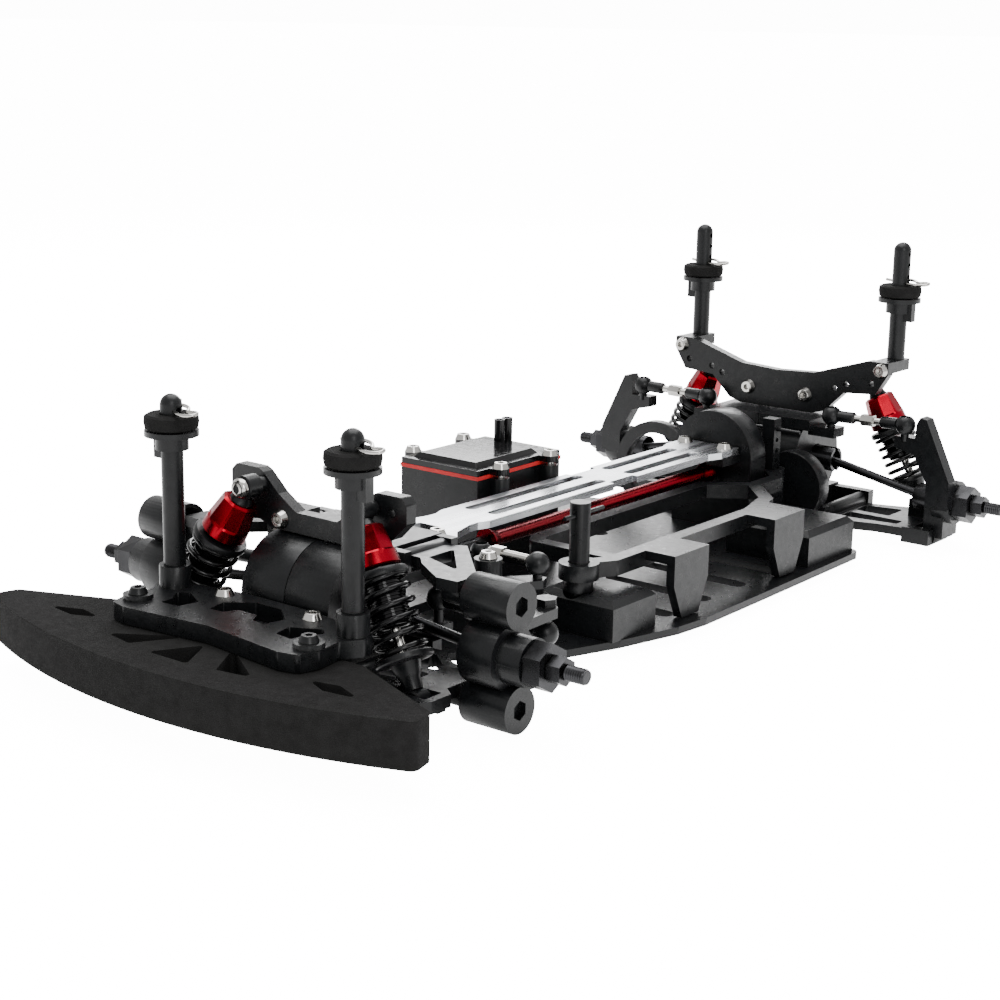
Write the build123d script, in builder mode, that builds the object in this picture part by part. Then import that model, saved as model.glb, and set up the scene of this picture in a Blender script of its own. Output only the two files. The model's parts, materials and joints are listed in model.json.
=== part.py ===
"""Four-wheel-drive 1:10 drift car chassis, without wheels, motor, servo or body shell.

The shapes are laid out about the middle of the front axle: X is the car's left,
Y runs rearwards and Z is up. save() moves every piece to the export frame, whose
origin is the middle of the car on the level of its lowest point.
"""
import os

from build123d import *

# ---------------------------------------------------------------- driving sizes
WHEELBASE = 257.0
REAR_Z = -4.0                 # rear axle height against the front axle
DRIVE_Z = 4.5                 # centre shaft and both differentials
FLOOR_Z = -19.0               # underside of the chassis plate
DECK_Z = -16.5                # upper side of the chassis plate
TOP_DECK_Z = 12.7
TOP_DECK_T = 2.5
M3 = 1.5                      # radius of a 3 mm screw or pin
RUN = 0.06                    # radial running clearance
HEX_FACE = 82.7               # outer face of the wheel hexagons
HEX_FLATS = 12.0
NUT_END = 87.4                # outer face of the wheel nuts
STUB_END = 93.8
THREAD_CORE = 1.62            # core of the M4 thread, inside the nut

# front suspension, left side: (x, z) of its pivots
ARM_IN = (24.0, -12.0)
ARM_OUT = (63.0, -14.4)
UPPER_IN = (24.0, 17.2)
UPPER_OUT = (63.0, 14.8)
BALL_R = 3.4
STUD_R = 1.5
SEAT_R = 4.7
SHOCK_F_TOP = Vector(21.6, -8.5, 34.0)
SHOCK_F_LOW = Vector(49.0, -15.5, -13.0)

# rear suspension, left side
R_ARM_IN = (29.0, -13.2)
R_ARM_OUT = (67.8, -17.2)
LINK_IN = Vector(27.5, WHEELBASE - 9, 23.3)
LINK_OUT = Vector(57.9, WHEELBASE - 9, 23.9)
SHOCK_R_TOP = Vector(35.0, WHEELBASE + 8, 34.0)
SHOCK_R_LOW = Vector(57.0, WHEELBASE + 13, -11.0)

# drive
CUP_BALL_X = 22.0             # inner dogbone ball
F_BALL_X = 62.5               # outer dogbone balls
R_BALL_X = 64.0
CUP_R = 4.6
BONE_R = 1.6
SHAFT_R = 2.2

# steering
CRANK = (27.8, 41.0)
CRANK_R = 23.0                # crank arm and knuckle arm
SERVO_ARM = (9.0, 12.5)
SERVO_Z = 8.6
TIE_IN = Vector(24.0, CRANK_R, 2.4)
TIE_OUT = Vector(63.0, CRANK_R, 0.0)
TIE_BALL_R = 2.8
TIE_EYE_R = 3.7

# body posts, battery posts
POST_RADIUS = 3.2
WASHER_R = 7.9
POST_F = (34.8, -25.5)
POST_R = (43.2, WHEELBASE + 9)
BATTERY_F = (37.2, 74.0)
BATTERY_R = (15.0, 225.5)

# export frame: middle of the car's length and lowest point
FRONT_EDGE = -71.5
REAR_EDGE = 277.5
LOWEST = -21.1
SHIFT = Location((0, -(FRONT_EDGE + REAR_EDGE) / 2, -LOWEST))

os.makedirs("parts", exist_ok=True)


# ---------------------------------------------------------------- helpers
def save(name, *solids):
    """Write one node: a single solid, or a group of separate ones."""
    placed = [SHIFT * body for solid in solids for body in solid.solids()]
    node = placed[0] if len(placed) == 1 else Compound(children=placed)
    node.label = name
    export_step(node, f"parts/{name}.step")


def other_side(solid):
    """The right-hand copy of a left-hand piece."""
    with BuildPart() as copy:
        mirror(solid, about=Plane.YZ)
    return copy.part


def save_pair(name, *solids):
    save(f"{name}_left", *solids)
    save(f"{name}_right", *[other_side(solid) for solid in solids])


def both_sides(solids):
    """Left-hand pieces followed by their right-hand copies."""
    return list(solids) + [other_side(solid) for solid in solids]


def bar(start, end, radius, mode=Mode.ADD):
    """Round bar between two points, in the part being built."""
    run = Vector(*end) - Vector(*start)
    with BuildSketch(Plane(origin=Vector(*start), z_dir=run)) as section:
        Circle(radius)
    extrude(to_extrude=section.sketch, amount=run.length, mode=mode)


def hex_bar(start, end, flats, mode=Mode.ADD):
    """Hexagonal bar between two points, in the part being built."""
    run = Vector(*end) - Vector(*start)
    with BuildSketch(Plane(origin=Vector(*start), z_dir=run)) as section:
        RegularPolygon(flats / 2, 6, major_radius=False)
    extrude(to_extrude=section.sketch, amount=run.length, mode=mode)


def taper(start, end, r_start, r_end, mode=Mode.ADD):
    """Round taper between two points, in the part being built."""
    run = Vector(*end) - Vector(*start)
    plane = Plane(origin=Vector(*start), z_dir=run)
    with Locations(plane.offset(run.length / 2)):
        Cone(r_start, r_end, run.length, mode=mode)


def ball(centre, radius, mode=Mode.ADD):
    with Locations(centre):
        Sphere(radius, mode=mode)


def block(low, high, mode=Mode.ADD):
    """Box between two corners, in the part being built."""
    with Locations(tuple((a + b) / 2 for a, b in zip(low, high))):
        Box(*[b - a for a, b in zip(low, high)], mode=mode)


def slab(points, plane, thickness, rounding=0.0, mode=Mode.ADD):
    """Flat piece with a straight-sided outline and rounded corners."""
    with BuildSketch(plane) as outline:
        with BuildLine():
            Polyline(*points, close=True)
        make_face()
        if rounding:
            fillet(outline.vertices(), rounding)
    extrude(to_extrude=outline.sketch, amount=thickness, mode=mode)


def solid_bar(start, end, radius):
    with BuildPart() as piece:
        bar(start, end, radius)
    return piece.part


def button_screw(seat, direction, length, head_r=2.9, head_t=1.9):
    """Button-head screw: seat is the foot of its head, direction points out of it."""
    out = Vector(*direction)
    foot = Vector(*seat)
    top = foot + out * head_t
    with BuildPart() as screw:
        bar(foot - out * length, foot, M3 - RUN)
        taper(foot, top, head_r, head_r * 0.72)
        hex_bar(top - out * 1.2, top, 2.0, Mode.SUBTRACT)
    return screw.part


def level(z):
    return Plane.XY.offset(z)


def across(y):
    """Sketch plane across the car at y: local x is X, local y is Z, facing forwards."""
    return Plane(origin=(0, y, 0), x_dir=(1, 0, 0), z_dir=(0, -1, 0))


# ---------------------------------------------------------------- screws
UP = (0, 0, 1)
FORWARD = (0, -1, 0)
LEFT_SCREWS = [
    ((17.2, -22.8, 5.6), UP, 16),
    ((33.3, -41.0, 7.0), UP, 14),
    ((14.0, -3.0, 24.6), FORWARD, 9),
    ((8.5, 40.5, TOP_DECK_Z + TOP_DECK_T), UP, 6),
    ((8.5, 203.0, TOP_DECK_Z + TOP_DECK_T), UP, 5),
    ((12.5, WHEELBASE - 3.5, 28.5), FORWARD, 3.8),
    ((43.7, WHEELBASE - 3.5, 41.5), FORWARD, 3.8),
    ((CRANK[0], CRANK[1], 11.6), UP, 27.5),
    ((14.0, WHEELBASE + 12, 21.5), UP, 8),
]
LID_SCREWS = [((x, y, 22.2), UP, 8) for x in (-13.4, -51.6) for y in (99.0, 126.0)]


def screw_list():
    right = [((-x, y, z), out, length) for (x, y, z), out, length in LEFT_SCREWS]
    return LEFT_SCREWS + right + LID_SCREWS


def drill(screws=None):
    """Cut the screw holes out of the part being built."""
    for seat, out, length in screws or screw_list():
        foot = Vector(*seat)
        tip = foot - Vector(*out) * (length + 0.3)
        bar(tip, foot + Vector(*out) * 0.01, M3, Mode.SUBTRACT)


def make_fasteners():
    screws = [button_screw(*entry) for entry in screw_list()]
    front = solid_bar((ARM_IN[0], -20.4, ARM_IN[1]), (ARM_IN[0], 20.4, ARM_IN[1]), M3 - RUN)
    upper = solid_bar((UPPER_IN[0], 4.4, UPPER_IN[1]), (UPPER_IN[0], 27.6, UPPER_IN[1]), M3 - RUN)
    rear_y = WHEELBASE
    pin_x, pin_z = R_ARM_IN
    rear = solid_bar((pin_x, rear_y - 19.4, pin_z), (pin_x, rear_y + 19.4, pin_z), M3 - RUN)
    save("fasteners", *screws, *both_sides([front, upper, rear]))


# ---------------------------------------------------------------- floor and decks
def make_chassis():
    half = [
        (0, -31), (22, -31), (22, 30), (34, 38), (47, 54.5), (54, 73), (60, 96), (61.4, 110),
        (61, 144), (59.8, 214), (30, 224), (23.5, 236), (23.5, REAR_EDGE - 1), (0, REAR_EDGE - 1),
    ]
    with BuildPart() as chassis:
        with BuildSketch(level(FLOOR_Z)) as outline:
            with BuildLine():
                Polyline(*half)
                mirror(about=Plane.YZ)
            make_face()
            fillet(outline.vertices().filter_by(lambda v: abs(v.X) > 20), 4)
        extrude(amount=DECK_Z - FLOOR_Z)
        with BuildSketch(level(FLOOR_Z)):
            for y, inner in ((105, 30), (127, 11), (149, 11), (171, 11)):
                with Locations(((inner + 52) / 2, y)):
                    SlotOverall(52 - inner, 6.5)
            for y in (62, 80, 150, 172):
                with Locations((-34, y)):
                    SlotOverall(26, 6.5)
        extrude(amount=DECK_Z - FLOOR_Z, mode=Mode.SUBTRACT)
        drill()
    save("chassis_plate", chassis.part)


def make_top_deck():
    right = [(-16, 36.5), (-16, 41), (-11, 47), (-8.5, 56), (-8.5, 60), (-10, 64), (-10, 190), (-12, 196),
             (-12, 207.5)]
    left = [(12, 207.5), (12, 196), (10, 190), (10, 64), (8.5, 60), (8.5, 56), (11, 47), (16, 41), (16, 36.5)]
    fork = [(9, 36.5), (4.5, 48), (-4.5, 48), (-9, 36.5)]
    with BuildPart() as deck:
        slab(right + left + fork, level(TOP_DECK_Z), TOP_DECK_T)
        with BuildSketch(level(TOP_DECK_Z)):
            for x in (-4.6, 4.6):
                for low, high in ((71, 132), (146, 190)):
                    with Locations((x, (low + high) / 2)):
                        SlotOverall(high - low, 4, rotation=90)
        extrude(amount=TOP_DECK_T, mode=Mode.SUBTRACT)
        block((-13, 131, TOP_DECK_Z - 1), (-7.8, 145, TOP_DECK_Z + 4), Mode.SUBTRACT)
        block((7.8, 131, TOP_DECK_Z - 1), (13, 145, TOP_DECK_Z + 4), Mode.SUBTRACT)
        drill()
    save("top_deck", deck.part)


# ---------------------------------------------------------------- bumper and body posts
BUMPER_Z = 0.6
BUMPER_TOP = 5.6


def make_bumper():
    foam_low = -12.8
    foam_t = 13.0
    with BuildPart() as foam:
        with BuildSketch(level(foam_low)) as crescent:
            with BuildLine():
                ThreePointArc((-82, -54.5), (0, FRONT_EDGE), (82, -54.5))
                Polyline((82, -54.5), (80, -46.5), (44, -31.5), (-44, -31.5), (-80, -46.5), (-82, -54.5))
            make_face()
            fillet(crescent.vertices().filter_by(lambda v: abs(v.X) > 70), 2.5)
        extrude(amount=foam_t)
        for side in (1, -1):
            slab([(side * 8, -44), (side * 17, -59), (side * 28, -57)],
                 level(foam_low), foam_t, 1.0, Mode.SUBTRACT)
            slab([(side * 41, -49), (side * 49, -52.5), (side * 60, -51), (side * 50, -47)],
                 level(foam_low), foam_t, 0.8, Mode.SUBTRACT)
        slab([(-7.5, -60.5), (7.5, -60.5), (0, -47)], level(foam_low), foam_t, 1.0, Mode.SUBTRACT)
        block((-15.5, -32, foam_low - 1), (15.5, -25, 1), Mode.SUBTRACT)
        drill()
    save("bumper_foam", foam.part)

    half = [(0, -46), (30, -49.5), (36, -48), (38, -42), (36.5, -33), (40.5, -27), (39.5, -22.5),
            (31, -20.9), (14, -18), (0, -18)]
    with BuildPart() as brace:
        with BuildSketch(level(BUMPER_Z)) as outline:
            with BuildLine():
                Polyline(*half)
                mirror(about=Plane.YZ)
            make_face()
            fillet(outline.vertices().filter_by(lambda v: abs(v.X) > 20), 1.5)
        extrude(amount=BUMPER_TOP - BUMPER_Z)
        for side in (1, -1):
            bar((side * 33.3, -41, BUMPER_TOP), (side * 33.3, -41, 7), 4.3)
            bar((side * POST_F[0], POST_F[1], 2), (side * POST_F[0], POST_F[1], 12), 4.6)
            bar((side * POST_F[0], POST_F[1], 0), (side * POST_F[0], POST_F[1], 13), 3.3, Mode.SUBTRACT)
            slab([(side * 19, -38.8), (side * 17.6, -32.5), (side * 26, -28), (side * 29, -30.4),
                  (side * 25.6, -35), (side * 25.4, -39.6)], level(0), 6, 0.6, Mode.SUBTRACT)
        slab([(-12.2, -28.3), (-10.5, -35), (-6, -34.6), (-3.4, -30.4), (3.4, -30.4), (6, -34.6), (10.5, -35),
              (12.2, -28.3), (5, -22.5), (-5, -22.5)], level(0), 6, 0.6, Mode.SUBTRACT)
        block((-15, -25, DECK_Z), (15, -21, BUMPER_Z))
        drill()
    save("bumper_plate", brace.part)


def body_post(x, y, low, high, collar_z):
    """Post with its collar disc and wire clip."""
    with BuildPart() as post:
        bar((x, y, low), (x, y, high - POST_RADIUS), POST_RADIUS)
        ball((x, y, high - POST_RADIUS), POST_RADIUS)
        for step in range(4):
            z = collar_z + 9.5 + 4.2 * step
            if z < high - POST_RADIUS - 1:
                bar((x - 4, y, z), (x + 4, y, z), 0.9, Mode.SUBTRACT)
        bar((x - 4, y, collar_z + 7.4), (x + 4, y, collar_z + 7.4), 0.9, Mode.SUBTRACT)
    with BuildPart() as collar:
        bar((x, y, collar_z - 4), (x, y, collar_z), 4.8)
        block((x + 1, y - 1.6, collar_z - 7), (x + 6, y + 1.6, collar_z))
        bar((x, y, collar_z), (x, y, collar_z + 1.6), 7.8)
        bar((x, y, collar_z - 5), (x, y, collar_z + 2), 3.26, Mode.SUBTRACT)
    clip = solid_bar((x - 10, y, collar_z + 7.4), (x + 9, y, collar_z + 7.4), 0.7)
    return [post.part, collar.part, clip]


def foam_washer(x, y, z):
    with BuildPart() as washer:
        bar((x, y, z), (x, y, z + 4.6), WASHER_R)
        bar((x, y, z - 1), (x, y, z + 6), 3.3, Mode.SUBTRACT)
    return washer.part


def make_body_posts():
    front = body_post(*POST_F, BUMPER_Z, 62.0, 50.0)
    rear = body_post(*POST_R, 44.6, 88.2, 66.0)
    save("body_posts", *both_sides(front + rear))
    save("foam_washers", *both_sides([foam_washer(*POST_F, 51.8), foam_washer(*POST_R, 67.8)]))


# ---------------------------------------------------------------- gearboxes and towers
CASE_R = 16.5
CASE_HALF = 17.0


def gearbox_half(y0, arm, tube_half):
    """Left half of the box around a differential, with the lugs of the lower arm."""
    arm_x, arm_z = arm
    lug = tube_half + 4
    with BuildPart() as case:
        bar((0.15, y0, DRIVE_Z), (CASE_HALF, y0, DRIVE_Z), CASE_R)
        block((0.15, y0 - lug, DECK_Z), (CASE_HALF, y0 + lug, -9))
        for low, high in ((y0 - lug, y0 - tube_half), (y0 + tube_half, y0 + lug)):
            block((CASE_HALF - 3, low, DECK_Z), (arm_x + 3.4, high, arm_z + 3.4))
        bar((-1, y0, DRIVE_Z), (12.5, y0, DRIVE_Z), 14.4, Mode.SUBTRACT)
        bar((-1, y0, DRIVE_Z), (CASE_HALF + 1, y0, DRIVE_Z), CUP_R + 0.3, Mode.SUBTRACT)
        bar((arm_x, y0 - lug - 1, arm_z), (arm_x, y0 + lug + 1, arm_z), M3, Mode.SUBTRACT)
    return case.part


def make_front_gearbox():
    with BuildPart() as left:
        add(gearbox_half(0, ARM_IN, 16.4))
        with BuildPart(mode=Mode.PRIVATE) as rear_boss:
            bar((0, 14.8, DRIVE_Z), (0, 22, DRIVE_Z), 7.0)
            block((-8, 10, -10), (0.15, 23, 15), Mode.SUBTRACT)
        add(rear_boss.part)
        block((6, 4.3, 15), (21, 27.7, 20.6))
        block((21, 4.3, 14.2), (27, 7.2, 20.4))
        block((21, 24.8, 14.2), (27, 27.7, 20.4))
        block((6.5, 14, 9), (12, 44, 12.6))
        block((8, 1.3, 15), (20, 7, 27.4))
        bar((-1, 0, DRIVE_Z), (12.5, 0, DRIVE_Z), 14.4, Mode.SUBTRACT)
        bar((0, 10, DRIVE_Z), (0, 23, DRIVE_Z), SHAFT_R + 0.3, Mode.SUBTRACT)
        bar((UPPER_IN[0], 4, UPPER_IN[1]), (UPPER_IN[0], 28, UPPER_IN[1]), M3, Mode.SUBTRACT)
        drill()
    save("front_gearbox", left.part, other_side(left.part))


def make_rear_gearbox():
    y0 = WHEELBASE
    with BuildPart() as body:
        add(gearbox_half(y0, R_ARM_IN, 15.4))
        block((0.15, y0 - 16, 17.5), (22, y0 + 6, 21.5))
        block((0.15, y0 + 6, 14), (16, y0 + 14, 21.5))
        block((20, y0 - 13, 15.5), (31, y0 - 5, 19.0))
        with BuildPart(mode=Mode.PRIVATE) as front_boss:
            bar((0, y0 - 22, DRIVE_Z), (0, y0 - 14.8, DRIVE_Z), 7.0)
            block((-8, y0 - 23, -10), (0.15, y0 - 10, 15), Mode.SUBTRACT)
        add(front_boss.part)
        bar((-1, y0, DRIVE_Z), (12.5, y0, DRIVE_Z), 14.4, Mode.SUBTRACT)
        bar((0, y0 - 23, DRIVE_Z), (0, y0 - 10, DRIVE_Z), SHAFT_R + 0.3, Mode.SUBTRACT)
        bar((LINK_IN.X, LINK_IN.Y, 19), (LINK_IN.X, LINK_IN.Y, LINK_IN.Z), STUD_R)
        ball(LINK_IN, TIE_BALL_R)
        drill()
    with BuildPart() as left:
        add(body.part)
        bar((19, y0 - 24, -3), (19, y0 - 17, -3), 13.3)
        block((0, y0 - 25, -30), (40, y0 - 16, DECK_Z), Mode.SUBTRACT)
        bar((0, y0 - 25, DRIVE_Z), (0, y0 - 10, DRIVE_Z), 6.0, Mode.SUBTRACT)
        block((-1, y0 - 25, -20), (0.15, y0 - 10, 20), Mode.SUBTRACT)
        bar((R_ARM_IN[0], y0 - 25, R_ARM_IN[1]), (R_ARM_IN[0], y0 - 15, R_ARM_IN[1]), M3, Mode.SUBTRACT)
    save("rear_gearbox", left.part, other_side(body.part))


def make_towers():
    front = [(0, 27.5), (8, 27.5), (15, 32), (21, 37.5), (23, 38.5), (32, 38.5), (34, 36.5), (34, 31),
             (29, 26), (22, 23), (18, 21.4), (0, 21.4)]
    with BuildPart() as tower:
        with BuildSketch(across(1.0)) as outline:
            with BuildLine():
                Polyline(*front)
                mirror(about=Plane.YZ)
            make_face()
            fillet(outline.vertices().filter_by(lambda v: abs(v.X) > 20), 0.9)
        extrude(amount=4.0)
        for x in (-28.5, 28.5):
            bar((x, -4, 33.5), (x, 2, 33.5), 1.3, Mode.SUBTRACT)
        for side in (1, -1):
            x, y, z = side * SHOCK_F_TOP.X, SHOCK_F_TOP.Y, SHOCK_F_TOP.Z
            bar((x, -2.9, z), (x, y + 2.9, z), 2.4)
            bar((x, -2.9, z), (x, y - 4.2, z), M3 - RUN)
            taper((x, y - 2.9, z), (x, y - 4.8, z), 2.9, 2.1)
        drill()
    save("front_tower", tower.part)

    rear = [(0, 36.6), (16, 37.5), (38.5, 44.6), (46.7, 44.6), (46.7, 40), (42, 32.3), (29, 31.3),
            (21, 23.4), (16, 21.9), (0, 21.9)]
    face_y = WHEELBASE + 0.5
    with BuildPart() as tower:
        with BuildSketch(across(face_y)) as outline:
            with BuildLine():
                Polyline(*rear)
                mirror(about=Plane.YZ)
            make_face()
        extrude(amount=4.0)
        for side in (1, -1):
            x, y, z = side * SHOCK_R_TOP.X, SHOCK_R_TOP.Y, SHOCK_R_TOP.Z
            block((min(side * 39.4, side * 46.7), face_y - 1, 40.4),
                  (max(side * 39.4, side * 46.7), y + 5.5, 44.5))
            bar((x, face_y, z), (x, y - 2.9, z), 2.4)
            bar((x, face_y, z), (x, y + 4.2, z), M3 - RUN)
            taper((x, y + 2.9, z), (x, y + 4.8, z), 2.9, 2.1)
            for hole_x, hole_z in ((29.6, 34.6), (24.8, 32.6), (40.2, 36.2)):
                spot_x = side * hole_x
                bar((spot_x, face_y - 5, hole_z), (spot_x, face_y + 1, hole_z), 1.2, Mode.SUBTRACT)
        drill()
    save("rear_tower", tower.part)


# ---------------------------------------------------------------- motor mount, receiver box, battery
def make_motor_mount():
    low_y, high_y = 208.5, 219.0
    top_z, arch_r = 10.4, 16.7
    ring = (-32.0, -1.2)
    with BuildPart() as mount:
        block((-arch_r, low_y, DECK_Z), (arch_r, high_y, top_z))
        bar((0, low_y, top_z), (0, high_y, top_z), arch_r)
        bar((0, low_y + 1.6, DRIVE_Z), (0, high_y - 1.6, DRIVE_Z), 14.6, Mode.SUBTRACT)
        bar((0, low_y + 1.6, top_z), (0, high_y - 1.6, top_z), 14.6, Mode.SUBTRACT)
        bar((0, low_y - 1, DRIVE_Z), (0, high_y + 5, DRIVE_Z), SHAFT_R + 0.3, Mode.SUBTRACT)
        for side in (1, -1):
            block((min(side * 5, side * 12), 197, 9.6), (max(side * 5, side * 12), low_y, TOP_DECK_Z - 0.1))
        with BuildPart(mode=Mode.PRIVATE) as plate:
            bar((ring[0], high_y, ring[1]), (ring[0], high_y + 4, ring[1]), 18)
            block((ring[0], high_y, DECK_Z), (-4, high_y + 4, 12))
            bar((ring[0], high_y - 1, ring[1]), (ring[0], high_y + 5, ring[1]), 13.6, Mode.SUBTRACT)
            block((-60, high_y - 1, -30), (0, high_y + 5, DECK_Z), Mode.SUBTRACT)
        add(plate.part)
        drill()
    save("motor_mount", mount.part)


BOX_LOW = (-49.0, 90.0)
BOX_HIGH = (-16.0, 135.0)
BOX_WALL = 1.8


def lug_spots():
    return [(x, y) for x in (-13.4, -51.6) for y in (99.0, 126.0)]


def make_receiver_box():
    with BuildPart() as box:
        block((*BOX_LOW, DECK_Z), (*BOX_HIGH, 19))
        for x, y in lug_spots():
            inner = x + 3.5 if x < -30 else x - 3.5
            bar((x, y, 8), (x, y, 19), 2.9)
            block((min(x, inner), y - 2.9, 8), (max(x, inner), y + 2.9, 19))
        with BuildPart(mode=Mode.PRIVATE) as room:
            block((BOX_LOW[0] + BOX_WALL, BOX_LOW[1] + BOX_WALL, DECK_Z + BOX_WALL),
                  (BOX_HIGH[0] - BOX_WALL, BOX_HIGH[1] - BOX_WALL, 20))
        add(room.part, mode=Mode.SUBTRACT)
        drill()
    save("receiver_box", box.part)

    with BuildPart() as gasket:
        block((BOX_LOW[0] - 0.3, BOX_LOW[1] - 0.3, 19), (BOX_HIGH[0] + 0.3, BOX_HIGH[1] + 0.3, 20.2))
        block((BOX_LOW[0] + BOX_WALL, BOX_LOW[1] + BOX_WALL, 18),
              (BOX_HIGH[0] - BOX_WALL, BOX_HIGH[1] - BOX_WALL, 21), Mode.SUBTRACT)
    with BuildPart() as lid:
        block((*BOX_LOW, 20.2), (*BOX_HIGH, 22.2))
        block((BOX_LOW[0] + 3, BOX_LOW[1] + 3, 22.2), (BOX_HIGH[0] - 3, BOX_HIGH[1] - 9, 23.8))
        chamfer(lid.edges().group_by(Axis.Z)[-1], 1.4)
        for x, y in lug_spots():
            inner = x + 3.5 if x < -30 else x - 3.5
            bar((x, y, 20.2), (x, y, 22.2), 2.9)
            block((min(x, inner), y - 2.9, 20.2), (max(x, inner), y + 2.9, 22.2))
        for y in (129.4, 133.6):
            bar((-37, y - 1.4, 22.2), (-37, y - 1.4, 31), 1.9)
        drill()
        for y in (129.4, 133.6):
            bar((-37, y - 1.4, 24), (-37, y - 1.4, 32), 1.1, Mode.SUBTRACT)
    save("receiver_lid", lid.part, gasket.part)


FRAME_LOW, FRAME_TOP = 0.0, 5.0
RAIL = 5.0


def rail(points):
    """Run of square rail through the points, in the part being built."""
    for start, end in zip(points, points[1:]):
        run = Vector(*end) - Vector(*start)
        side = Vector(-run.Y, run.X).normalized() * RAIL / 2
        corners = [Vector(*start) - side, Vector(*end) - side, Vector(*end) + side, Vector(*start) + side]
        slab([(c.X, c.Y) for c in corners], level(FRAME_LOW), FRAME_TOP - FRAME_LOW)
    for point in points[1:-1]:
        bar((*point, FRAME_LOW), (*point, FRAME_TOP), RAIL / 2)


def make_battery():
    with BuildPart() as frame:
        rail([BATTERY_F, (42.8, 84), (42.8, 166), (38, 184), (24, 199), (24, 215), BATTERY_R])
        rail([(42.8, 86), (12, 86), (9.5, 90), (9.5, 188), (24, 199)])
        for point, radius in ((BATTERY_F, 6.3), (BATTERY_R, 5.6)):
            bar((*point, FRAME_LOW), (*point, FRAME_TOP), radius)
        bar((*BATTERY_F, -1), (*BATTERY_F, 6), 3.5, Mode.SUBTRACT)
        block((BATTERY_R[0] - 2.8, BATTERY_R[1] - 2.8, -1), (BATTERY_R[0] + 2.8, BATTERY_R[1] + 2.8, 6),
              Mode.SUBTRACT)
        for low, high in ((98.4, 118.0), (159.0, 178.8)):
            block((42, low, 2), (56.4, high, FRAME_TOP))
            slab([(low, FRAME_TOP), (high, FRAME_TOP), (high, -5), (high - 5, -16), (low + 5, -16),
                  (low, -5)],
                 Plane(origin=(53.4, 0, 0), x_dir=(0, 1, 0), z_dir=(1, 0, 0)), 3.0)
    save("battery_frame", frame.part)

    with BuildPart() as front_post:
        bar((*BATTERY_F, -4), (*BATTERY_F, FRAME_LOW - 0.2), 4.6)
        bar((*BATTERY_F, DECK_Z), (*BATTERY_F, 24), 3.2)
        bar((BATTERY_F[0], BATTERY_F[1] - 5, 20), (BATTERY_F[0], BATTERY_F[1] + 5, 20), 0.9, Mode.SUBTRACT)
    with BuildPart() as front_block:
        block((26, 69, DECK_Z), (54, 92, -4))
        chamfer(front_block.edges().group_by(Axis.Z)[-1], 2)
        bar((*BATTERY_F, DECK_Z - 1), (*BATTERY_F, 0), 4.8, Mode.SUBTRACT)
    with BuildPart() as rear_post:
        block((BATTERY_R[0] - 2.5, BATTERY_R[1] - 2.5, DECK_Z), (BATTERY_R[0] + 2.5, BATTERY_R[1] + 2.5, 24))
        block((BATTERY_R[0] - 4, BATTERY_R[1] - 4, DECK_Z),
              (BATTERY_R[0] + 4, BATTERY_R[1] + 4, FRAME_LOW - 0.2))
        for z in (8, 12, 16, 20):
            bar((BATTERY_R[0] - 4, BATTERY_R[1], z), (BATTERY_R[0] + 4, BATTERY_R[1], z), 0.9, Mode.SUBTRACT)
    with BuildPart() as rear_block:
        block((24, 182, DECK_Z), (57, 214, -4))
        chamfer(rear_block.edges().group_by(Axis.Z)[-1], 2)
    front_clip = solid_bar((BATTERY_F[0], BATTERY_F[1] - 8, 20), (BATTERY_F[0], BATTERY_F[1] + 12, 20), 0.7)
    rear_clip = solid_bar((BATTERY_R[0] - 8, BATTERY_R[1], 20), (BATTERY_R[0] + 12, BATTERY_R[1], 20), 0.7)
    save("battery_mounts", front_post.part, front_block.part, rear_post.part, rear_block.part,
         front_clip, rear_clip)


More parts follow.
